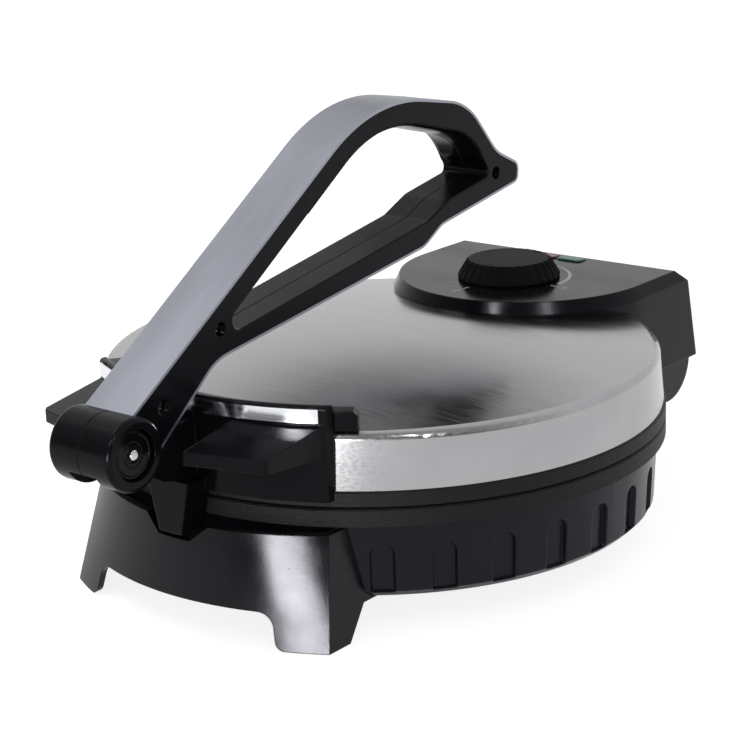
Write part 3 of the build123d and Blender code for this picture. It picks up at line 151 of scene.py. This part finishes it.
def plastic(name, base, spread, roughness, rough_spread=0.05, grain=0.00002, grain_scale=1400,
            wave=0.0, wave_scale=25, specular=0.2, tint=(1, 1, 1), smears=0.0, edge=0.0006, seam=False):
    """Moulded plastic: uneven colour, fine grain and soft edges.

    If asked, it also has sink waves, wiped smears and a parting line.
    """
    s = Shader(name)
    where = s.coords()
    cloud = s.noise(where, CLOUD_SCALE, 5)
    colour = s.ramp(cloud, (0.3, grey(base - spread, tint)), (0.7, grey(base + spread, tint)))
    soft = s.node("Bevel", {"Radius": edge}, samples=4).outputs["Normal"]
    normal = s.bump(s.noise(where, grain_scale, 2), grain, normal=soft)
    if wave:
        normal = s.bump(s.noise(where, wave_scale, 1), wave, normal=normal)
    rough = s.span(cloud, roughness - rough_spread, roughness + rough_spread)
    if smears:
        wiped = s.noise(s.coords((0.3, 1, 1), (0, 0.5, 0.4)), SMEAR_SCALE, 4)
        rough = s.add(rough, s.span(wiped, 0.0, smears, 0.5, 0.75))
    if seam:
        across = s.node("SeparateXYZ", {"Vector": where}).outputs["X"]
        off = s.node("Math", {0: across}, operation="ABSOLUTE").outputs[0]
        rough = s.add(rough, s.span(off, 0.8, 0.0, SEAM_HALF * 0.6, SEAM_HALF))
        normal = s.bump(s.span(off, 0.0, 1.0, 0.0, SEAM_HALF), SEAM_DEPTH, normal=normal)
    return s.principled(Base_Color=colour, Roughness=rough, Normal=normal, Specular_IOR_Level=specular,
                        Specular_Tint=GLOSS_TINT)


LINE_SCALE, BRUSH_SPREAD = 900, 0.04


def brushed(name, base, spread, roughness, stretch, depth=0.000002, cloud_scale=18, tint=(1, 1, 1), streaks=0.0):
    """Brushed metal: fine lines along the axis whose stretch is smallest, over slow cloudy streaks."""
    s = Shader(name)
    lines = s.noise(s.coords(stretch), LINE_SCALE, 3, 0.6)
    wide = tuple(0.2 + 0.8 * v for v in stretch)
    cloud = s.noise(s.coords(wide), cloud_scale, 4, 0.6)
    fine = s.ramp(lines, (0.3, grey(base - spread, tint)), (0.7, grey(base + spread, tint)))
    broad = s.ramp(cloud, (0.35, grey(1 - streaks)), (0.65, grey(1.0)))
    rough = s.add(s.span(lines, -BRUSH_SPREAD, BRUSH_SPREAD),
                  s.span(cloud, roughness - BRUSH_SPREAD, roughness + BRUSH_SPREAD))
    return s.principled(Base_Color=s.multiply(fine, broad), Metallic=1.0, Roughness=rough,
                        Normal=s.bump(lines, depth))


def cast_coated(name):
    """Cast plate with a dark coat: grainy, with faint level lines on its rim."""
    s = Shader(name)
    where = s.coords()
    grain = s.noise(where, 900, 4, 0.7)
    turned = s.noise(s.coords((0.12, 0.12, 1)), 1600, 3, 0.7)
    colour = s.ramp(grain, (0.3, (0.003, 0.003, 0.0035)), (0.72, (0.010, 0.010, 0.011)))
    normal = s.bump(turned, 0.00012, normal=s.bump(grain, 0.00022))
    return s.principled(Base_Color=colour, Roughness=s.span(grain, 0.42, 0.62), Normal=normal,
                        Specular_IOR_Level=0.22)


def lens(name, dark, light):
    """Ribbed translucent plastic over a dark well, with a painted sheen: its colour lightens towards the edges,
    where the surface is seen edge-on.
    """
    s = Shader(name)
    where = s.coords()
    cloud = s.noise(where, 120, 3)
    ribs = s.node("TexWave", {"Vector": where, "Scale": 260.0, "Distortion": 0.3}).outputs["Fac"]
    # painted sheen: the colour runs from dark where the lens faces the view to light where it is seen edge-on
    edge = s.node("LayerWeight", {"Blend": 0.35}).outputs["Facing"]
    body = s.ramp(s.add(s.span(cloud, -0.1, 0.1), edge), (0.2, dark), (0.85, light))
    return s.principled(Base_Color=body, Roughness=0.16, Normal=s.bump(ribs, 0.00004),
                        Transmission_Weight=0.15, Specular_IOR_Level=0.22)


def plated(name, base, roughness, tint=(1, 1, 1)):
    """Plated or bare small metal parts with a crystalline unevenness."""
    s = Shader(name)
    where = s.coords()
    cells = s.noise(where, 420, 4, 0.6)
    colour = s.ramp(cells, (0.3, grey(base * 0.85, tint)), (0.7, grey(base, tint)))
    return s.principled(Base_Color=colour, Metallic=1.0, Normal=s.bump(cells, 0.000006),
                        Roughness=s.span(cells, roughness - 0.06, roughness + 0.06))


def ceramic(name, base):
    """Pale, faintly warm and speckled."""
    s = Shader(name)
    spots = s.noise(s.coords(), 300, 4)
    colour = s.ramp(spots, (0.3, grey(base * 0.9, CREAM)), (0.7, grey(base, CREAM)))
    return s.principled(Base_Color=colour, Roughness=s.span(spots, 0.35, 0.5), Normal=s.bump(spots, 0.00002))


NAVY, COOL, SILVER = (0.92, 0.8, 1.5), (0.97, 0.93, 1.2), (0.97, 0.98, 1.04)
CREAM = (1, 0.98, 0.93)
MATERIALS = {
    "black_tub": plastic("black_tub", 0.0125, 0.002, 0.24, tint=NAVY, wave=0.0004, wave_scale=30, edge=0.0013),
    "black_gloss": plastic("black_gloss", 0.0065, 0.0015, 0.13, 0.03, tint=COOL, wave=0.00012, specular=0.15,
                           smears=0.14, edge=0.0012),
    "black_apron": plastic("black_apron", 0.006, 0.002, 0.17, 0.04, tint=COOL, wave=0.0002, wave_scale=22,
                           specular=0.25, smears=0.1),
    "black_bracket": plastic("black_bracket", 0.0095, 0.0015, 0.15, 0.04, tint=COOL, specular=0.1,
                             smears=0.08, edge=0.001),
    "black_lever": plastic("black_lever", 0.007, 0.001, 0.2, 0.04, tint=COOL, specular=0.11,
                           smears=0.1, seam=True),
    "black_dial": plastic("black_dial", 0.012, 0.0015, 0.45, 0.05, grain=0.00005, specular=0.035, edge=0.0016),
    "black_cap": plastic("black_cap", 0.005, 0.001, 0.12, 0.03, tint=COOL, specular=0.14),
    "rubber": plastic("rubber", 0.012, 0.003, 0.7, 0.08, grain=0.0001, grain_scale=900, specular=0.1),
    "cast": cast_coated("cast_rim"),
    "steel": brushed("steel_cover", 0.44, 0.010, 0.19, (0.03, 1, 1), tint=(1.0, 0.98, 1.01), streaks=0.12),
    "band": brushed("satin_band", 0.385, 0.006, 0.38, (1, 0.05, 0.05), tint=(0.95, 0.985, 1.11), streaks=0.24,
                    cloud_scale=22, depth=0.000001),
    "trim": brushed("bright_trim", 0.94, 0.01, 0.12, (0.03, 0.03, 1), tint=SILVER, streaks=0.1),
    # each lens: its colour facing the view, then the lighter colour of its painted edge sheen
    "red": lens("lens_red", (0.10, 0.006, 0.008), (0.42, 0.12, 0.12)),
    "green": lens("lens_green", (0.0, 0.085, 0.066), (0.03, 0.25, 0.2)),
    "zinc": plated("zinc", 0.55, 0.3, SILVER),
    "element": plated("element", 0.3, 0.45, (1, 0.94, 0.86)),
    "sheet": brushed("shield_sheet", 0.6, 0.02, 0.3, (0.05, 1, 1)),
    "screw": plated("screw_steel", 0.7, 0.2),
    "ceramic": ceramic("ceramic", 0.75),
    "sleeve": ceramic("lamp_sleeve", 0.7),
    "print": plastic("print_white", 0.62, 0.03, 0.5, grain_scale=2500),
}
# which nodes wear which material; every other node is a screw
WEARS = {
    "black_tub": ("base_tub", "rear_feet", "rear_housing"),
    "black_gloss": ("control_housing",),
    "black_apron": ("front_apron",),
    "black_bracket": ("front_bracket",),
    "black_lever": ("lever_shell_left", "lever_shell_right"),
    "black_dial": ("control_dial", "cord_gland"),
    "black_cap": ("pivot_caps",),
    "rubber": ("rubber_pads",),
    "cast": ("lower_plate", "upper_plate"),
    "steel": ("lid_cover",),
    "band": ("lever_band",),
    "trim": ("bracket_trim",),
    "red": ("red_lens",),
    "green": ("green_lens",),
    "zinc": ("lid_hinge_arms", "hinge_pins", "thermostat", "dial_shaft", "pivot_pin", "thermal_fuse"),
    "element": ("lower_element", "upper_element"),
    "sheet": ("lower_heat_shield", "upper_heat_shield"),
    "ceramic": ("terminal_block",),
    "sleeve": ("indicator_lamps",),
}


def dress(obj, material):
    """Give an object one material and no other."""
    obj.data.materials.clear()
    obj.data.materials.append(MATERIALS[material])


worn = {node: material for material, group in WEARS.items() for node in group}
for node, obj in nodes_of.items():
    dress(obj, worn.get(node, "screw"))


# ---------------------------------------------------------------- pieces
def piece(name, faces_from, material, body):
    """A mesh made by faces_from(bm), dressed and riding on a body."""
    bm = bmesh.new()
    faces_from(bm)
    bmesh.ops.recalc_face_normals(bm, faces=bm.faces)
    mesh = bpy.data.meshes.new(name)
    bm.to_mesh(mesh)
    bm.free()
    obj = bpy.data.objects.new(name, mesh)
    scene.collection.objects.link(obj)
    dress(obj, material)
    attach(obj, body)
    return obj


def slab(bm, outline, low, high):
    """Closed prism over a level outline of (x, y) points."""
    bottom = [bm.verts.new((x, y, low)) for x, y in outline]
    top = [bm.verts.new((x, y, high)) for x, y in outline]
    bm.faces.new(bottom[::-1])
    bm.faces.new(top)
    for i in range(len(outline)):
        j = (i + 1) % len(outline)
        bm.faces.new((bottom[i], bottom[j], top[j], top[i]))


def middle(node):
    """Middle of a CAD node's box."""
    low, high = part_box(node)
    return (low + high) / 2


# printed marks round the dial, in degrees clockwise from the back
PRINT_T = 0.06 * MM
dial_at = middle("control_dial")
panel_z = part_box("control_housing")[1][2]
ARC_R, ARC_W, ARC_FROM, ARC_TO = 31.0 * MM, 2.5 * MM, 6.0, 92.0
ARC_START_W, ARC_STEPS = 0.25, 36                   # share of the full width at its start
TICK_R, TICK_L, TICK_W = 31.5 * MM, 4.0 * MM, 1.0 * MM
TICK_ANGLES = (100.0, 188.0, 214.0)
DIGIT_R, DIGIT_H, DIGIT_BOLD = 38.5 * MM, 6.4 * MM, 0.09 * MM
DIGITS = (("5", 100.0), ("0", 188.0))


def round_dial(radius, angle):
    """Point at a radius from the dial's axis, clockwise from the back."""
    a = math.radians(angle)
    return dial_at.x + radius * math.sin(a), dial_at.y + radius * math.cos(a)


def printed_arc(bm):
    """Arc that widens as the heat rises."""
    along = [i / ARC_STEPS for i in range(ARC_STEPS + 1)]
    angles = [ARC_FROM + (ARC_TO - ARC_FROM) * t for t in along]
    half = [ARC_W * (ARC_START_W + (1 - ARC_START_W) * t) / 2 for t in along]
    outside = [round_dial(ARC_R + h, a) for h, a in zip(half, angles)]
    inside = [round_dial(ARC_R - h, a) for h, a in zip(half, angles)]
    slab(bm, outside + inside[::-1], panel_z, panel_z + PRINT_T)


def printed_ticks(bm):
    """Short strokes that point at the dial's axis."""
    side = math.degrees(TICK_W / 2 / TICK_R)
    near, far = TICK_R - TICK_L / 2, TICK_R + TICK_L / 2
    corners = ((near, -side), (far, -side), (far, side), (near, side))
    for angle in TICK_ANGLES:
        slab(bm, [round_dial(r, angle + a) for r, a in corners], panel_z, panel_z + PRINT_T)


piece("dial_arc_print", printed_arc, "print", "lid")
piece("dial_tick_print", printed_ticks, "print", "lid")
for digit, angle in DIGITS:
    text = bpy.data.curves.new("digit_" + digit, "FONT")
    text.body = digit
    text.size = DIGIT_H
    text.extrude = PRINT_T / 2
    text.offset = DIGIT_BOLD
    text.align_x, text.align_y = "CENTER", "CENTER"
    obj = bpy.data.objects.new("digit_" + digit, text)
    obj.location = (*round_dial(DIGIT_R, angle), panel_z + PRINT_T / 2)
    scene.collection.objects.link(obj)
    obj.data.materials.append(MATERIALS["print"])
    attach(obj, "lid")


# lenses: softly crowned windows, each in a dark seat
LENS_L, LENS_W, LENS_H, LENS_ROUND = 15.0 * MM, 8.2 * MM, 0.9 * MM, 2.6 * MM
LENS_GAP, LENS_FORWARD, LENS_SUNK = 1.0 * MM, 0.6 * MM, 0.1 * MM
SEAT_RIM, SEAT_SUNK, SEAT_PROUD = 0.9 * MM, 0.2 * MM, 0.12 * MM
CORNER_STEPS = 8
# inset and rise of each ring of a crowned top, in heights
CROWN = ((0.0, 0.0), (0.0, 0.35), (0.12, 0.62), (0.32, 0.84), (0.62, 0.96), (1.1, 1.0))


def rounded(centre, length, width, radius):
    """Outline of a rectangle with round corners, as (x, y) points."""
    points = []
    for turn, (sx, sy) in enumerate(((1, 1), (-1, 1), (-1, -1), (1, -1))):
        for i in range(CORNER_STEPS + 1):
            a = math.radians(90 * (turn + i / CORNER_STEPS))
            points.append((centre[0] + sx * (length / 2 - radius) + radius * math.cos(a),
                           centre[1] + sy * (width / 2 - radius) + radius * math.sin(a)))
    return points


def crowned(bm, centre, length, width, radius, low, high):
    """Closed cushion-topped slab: rings that step in as they rise."""
    rings = []
    for inset, rise in CROWN:
        shrink = inset * (high - low)
        outline = rounded(centre, length - 2 * shrink, width - 2 * shrink, radius - shrink * 0.6)
        rings.append([bm.verts.new((x, y, low + rise * (high - low))) for x, y in outline])
    bm.faces.new(rings[0][::-1])
    bm.faces.new(rings[-1])
    for below, above in zip(rings, rings[1:]):
        for i in range(len(below)):
            j = (i + 1) % len(below)
            bm.faces.new((below[i], below[j], above[j], above[i]))


def lens_seat(bm, centre):
    """Dark rim that the lens lies in."""
    slab(bm, rounded(centre, LENS_L + SEAT_RIM, LENS_W + SEAT_RIM, LENS_ROUND),
         panel_z - SEAT_SUNK, panel_z + SEAT_PROUD)


def lens_face(bm, centre):
    """The window itself."""
    crowned(bm, centre, LENS_L, LENS_W, LENS_ROUND, panel_z - LENS_SUNK, panel_z + LENS_H)


for node, colour, side in (("red_lens", "red", -1), ("green_lens", "green", 1)):
    centre = (side * (LENS_L + LENS_GAP) / 2, middle(node).y - LENS_FORWARD)
    piece(node + "_seat", lambda bm: lens_seat(bm, centre), "black_cap", "lid")
    face = piece(node + "_face", lambda bm: lens_face(bm, centre), colour, "lid")
    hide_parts(node)

# turned rings on the pivot caps: radius, half width and rise, mm
CAP_RINGS = ((9.5, 0.9, 0.5), (5.4, 0.6, 0.25))
RING_SUNK = 0.12
RING_AROUND, RING_ACROSS = 72, 10


def cap_rings(bm):
    """Round beads on both cap faces."""
    low_at, high_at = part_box("pivot_caps")
    mid = middle("pivot_caps")
    for face_x, out in ((high_at.x, 1), (low_at.x, -1)):
        for radius, half, rise in CAP_RINGS:
            rows = []
            for i in range(RING_AROUND):
                a = 2 * math.pi * i / RING_AROUND
                row = []
                for j in range(RING_ACROSS):
                    b = 2 * math.pi * j / RING_ACROSS
                    x = face_x + out * (rise * math.sin(b) - RING_SUNK) * MM
                    r = (radius + half * math.cos(b)) * MM
                    row.append(bm.verts.new((x, mid.y + r * math.cos(a), mid.z + r * math.sin(a))))
                rows.append(row)
            for i in range(RING_AROUND):
                here, there = rows[i], rows[(i + 1) % RING_AROUND]
                for j in range(RING_ACROSS):
                    k = (j + 1) % RING_ACROSS
                    bm.faces.new((here[j], here[k], there[k], there[j]))


piece("cap_rings", cap_rings, "black_cap", "lever")

# crowned palm swell on the ceiling of the lever's window, (y, z) from the pivot
PIVOT_Y, PIVOT_Z = -171.55 * MM, 91.2 * MM
SWELL_LINE = ((118.0, 77.0), (170.2, 111.3), (240.5, 92.8), (250.5, 75.5))
SWELL_ROUND = (69.0, 34.0)
SWELL_HALF, SWELL_RISE, SWELL_BACK = 13.4, 2.8, 0.4   # half width, crown and depth into the shells, mm
SWELL_GROW, SWELL_FADE = 0.45, 0.22                   # shares of its length over which it grows and fades
SWELL_FULL, SWELL_ACROSS = 0.75, 14                   # fullness of the crown; faces across


def turned(way, a):
    """A plane vector turned by an angle."""
    return Vector((way.x * math.cos(a) - way.y * math.sin(a), way.x * math.sin(a) + way.y * math.cos(a)))


def filleted(points, radii, steps=14):
    """Open line with its inner corners rounded, as (point, direction) pairs."""
    line = [Vector(p) for p in points]
    made = [(line[0], (line[1] - line[0]).normalized())]
    for before, corner, after, radius in zip(line, line[1:], line[2:], radii):
        into, out = (corner - before).normalized(), (after - corner).normalized()
        turn = math.atan2(into.x * out.y - into.y * out.x, into.dot(out))
        start = corner - into * radius * abs(math.tan(turn / 2))
        side = Vector((-into.y, into.x)) * math.copysign(1, turn)
        centre = start + side * radius
        for i in range(steps + 1):
            a = turn * i / steps
            made.append((centre + turned(start - centre, a), turned(into, a)))
    made.append((line[-1], (line[-1] - line[-2]).normalized()))
    return made


def smooth(t):
    """Soft step from 0 to 1."""
    t = max(0.0, min(1.0, t))
    return t * t * (3 - 2 * t)


def palm_swell(bm):
    """Closed strip: its back lies in the shells and its face crowns into the window."""
    stations = filleted(SWELL_LINE, SWELL_ROUND)
    run = [0.0]
    for (a, _), (b, _) in zip(stations, stations[1:]):
        run.append(run[-1] + (b - a).length)
    faces, backs = [], []
    for (at, way), s in zip(stations, run):
        t = s / run[-1]
        rise = SWELL_RISE * smooth(t / SWELL_GROW) * smooth((1 - t) / SWELL_FADE)
        inward = Vector((way.y, -way.x))
        face, back = [], []
        for j in range(SWELL_ACROSS + 1):
            x = SWELL_HALF * (2 * j / SWELL_ACROSS - 1)
            crown = rise * (1 - (x / SWELL_HALF) ** 2) ** SWELL_FULL
            for row, off in ((face, crown), (back, -SWELL_BACK)):
                spot = at + inward * off
                row.append(bm.verts.new((x * MM, PIVOT_Y + spot.x * MM, PIVOT_Z + spot.y * MM)))
        faces.append(face)
        backs.append(back)
    last = len(faces) - 1
    for i in range(last):
        for j in range(SWELL_ACROSS):
            bm.faces.new((faces[i][j], faces[i][j + 1], faces[i + 1][j + 1], faces[i + 1][j]))
            bm.faces.new((backs[i][j], backs[i + 1][j], backs[i + 1][j + 1], backs[i][j + 1]))
        for j in (0, SWELL_ACROSS):
            bm.faces.new((faces[i][j], faces[i + 1][j], backs[i + 1][j], backs[i][j]))
    for i in (0, last):
        for j in range(SWELL_ACROSS):
            bm.faces.new((faces[i][j], faces[i][j + 1], backs[i][j + 1], backs[i][j]))


swell = piece("palm_swell", palm_swell, "black_lever", "lever")
for polygon in swell.data.polygons:
    polygon.use_smooth = True


# ---------------------------------------------------------------- light and stage
def area(name, at, aim, size, power, glossy_only=False):
    """White softbox, seen only by what it lights; a glossy one shows only as a highlight."""
    data = bpy.data.lights.new(name, "AREA")
    data.shape = "RECTANGLE"
    data.size, data.size_y = size
    data.energy = power
    lamp = bpy.data.objects.new(name, data)
    lamp.location = at
    lamp.rotation_euler = (Vector(aim) - Vector(at)).to_track_quat("-Z", "Y").to_euler()
    lamp.visible_camera = False
    if glossy_only:
        lamp.visible_diffuse = False
    scene.collection.objects.link(lamp)


area("key", (-0.7, -0.5, 1.7), (0, 0, 0.08), (0.9, 0.9), 5)
area("front_box", (0.08, -1.17, 1.0), (0, 0, 0.1), (0.16, 0.3), 4, glossy_only=True)
area("second_box", (0.98, -0.66, 0.95), (0, 0, 0.1), (0.12, 0.26), 3.5, glossy_only=True)
area("low_box", (0.38, -1.5, 0.13), (0.06, -0.12, 0.03), (0.46, 0.2), 15, glossy_only=True)

FAR_WAY = (-math.sin(YAW), math.cos(YAW), 0.0)
RIGHT_WAY = (math.cos(YAW), math.sin(YAW), 0.0)
WHITE = (1, 1, 1, 1)
ASIDE_SHARE = 0.45                                  # how much the right side counts beside the far side
NEAR_LEVEL, FAR_LEVEL, NEAR_BRIGHT, FAR_BRIGHT = -0.6, 0.35, 0.2, 0.85
SOFT_LEVEL = 0.45                                   # plain light on matt surfaces

# a soft dark flag high behind the object, mirrored in the lid
FLAG_AZ, FLAG_EL = math.radians(-39), math.radians(28)
FLAG_WAY = (math.sin(FLAG_AZ) * math.cos(FLAG_EL), math.cos(FLAG_AZ) * math.cos(FLAG_EL), math.sin(FLAG_EL))
FLAG_INNER, FLAG_OUTER, FLAG_DARK = math.radians(3.0), math.radians(9.5), 0.22


def studio_world():
    """White backdrop. Mirrored, it is pale behind the object and to its right, and darker in front."""
    world = bpy.data.worlds.new("studio")
    world.use_nodes = True
    tree = world.node_tree
    tree.nodes.clear()

    def node(kind, *inputs, **values):
        made = tree.nodes.new("ShaderNode" + kind)
        for key, value in values.items():
            setattr(made, key, value)
        for index, value in enumerate(inputs):
            if isinstance(value, bpy.types.NodeSocket):
                tree.links.new(value, made.inputs[index])
            elif value is not None:
                made.inputs[index].default_value = value
        return made

    way = node("TexCoord").outputs["Generated"]
    far = node("VectorMath", way, FAR_WAY, operation="DOT_PRODUCT").outputs["Value"]
    aside = node("VectorMath", way, RIGHT_WAY, operation="DOT_PRODUCT").outputs["Value"]
    share = node("Math", aside, ASIDE_SHARE, operation="MULTIPLY").outputs[0]
    towards = node("Math", far, share, operation="ADD").outputs[0]
    open_side = node("MapRange", towards, NEAR_LEVEL, FAR_LEVEL, NEAR_BRIGHT, FAR_BRIGHT).outputs[0]
    flagged = node("VectorMath", way, FLAG_WAY, operation="DOT_PRODUCT").outputs["Value"]
    flag = node("MapRange", flagged, math.cos(FLAG_OUTER), math.cos(FLAG_INNER), 1.0, FLAG_DARK).outputs[0]
    bright = node("Math", open_side, flag, operation="MULTIPLY").outputs[0]
    path = node("LightPath")
    plain = node("Background", WHITE, SOFT_LEVEL)
    mirrored = node("Background", WHITE, bright)
    white = node("Background", WHITE, 1.0)
    inner = node("MixShader", path.outputs["Is Glossy Ray"], plain.outputs[0], mirrored.outputs[0])
    outer = node("MixShader", path.outputs["Is Camera Ray"], inner.outputs[0], white.outputs[0])
    node("OutputWorld", outer.outputs[0])
    return world


scene.world = studio_world()

FLOOR_HALF = 20                                     # metres
FLOOR_GLOW, FLOOR_GLOSS = 0.86, 0.7                 # lift for the camera and in reflections


def pale_floor():
    """Matt pale floor that keeps the shadow and turns white where nothing shades it."""
    s = Shader("floor_white")
    path = s.node("LightPath")
    seen = s.node("Math", {0: path.outputs["Is Camera Ray"], 1: FLOOR_GLOW}, operation="MULTIPLY").outputs[0]
    mirrored = s.node("Math", {0: path.outputs["Is Glossy Ray"], 1: FLOOR_GLOSS}, operation="MULTIPLY").outputs[0]
    faint = s.ramp(s.noise(s.coords(), 3, 2), (0.3, grey(0.5)), (0.7, grey(0.52)))
    diffuse = s.node("BsdfDiffuse", {"Color": faint}).outputs[0]
    glow = s.node("Emission", {"Strength": s.add(seen, mirrored)}).outputs[0]
    both = s.node("AddShader", {0: diffuse, 1: glow}).outputs[0]
    s.tree.links.new(both, s.out.inputs["Surface"])
    return s.material


bm = bmesh.new()
bmesh.ops.create_grid(bm, x_segments=1, y_segments=1, size=FLOOR_HALF)
mesh = bpy.data.meshes.new("floor")
bm.to_mesh(mesh)
bm.free()
mesh.materials.append(pale_floor())
floor = bpy.data.objects.new("floor", mesh)
scene.collection.objects.link(floor)
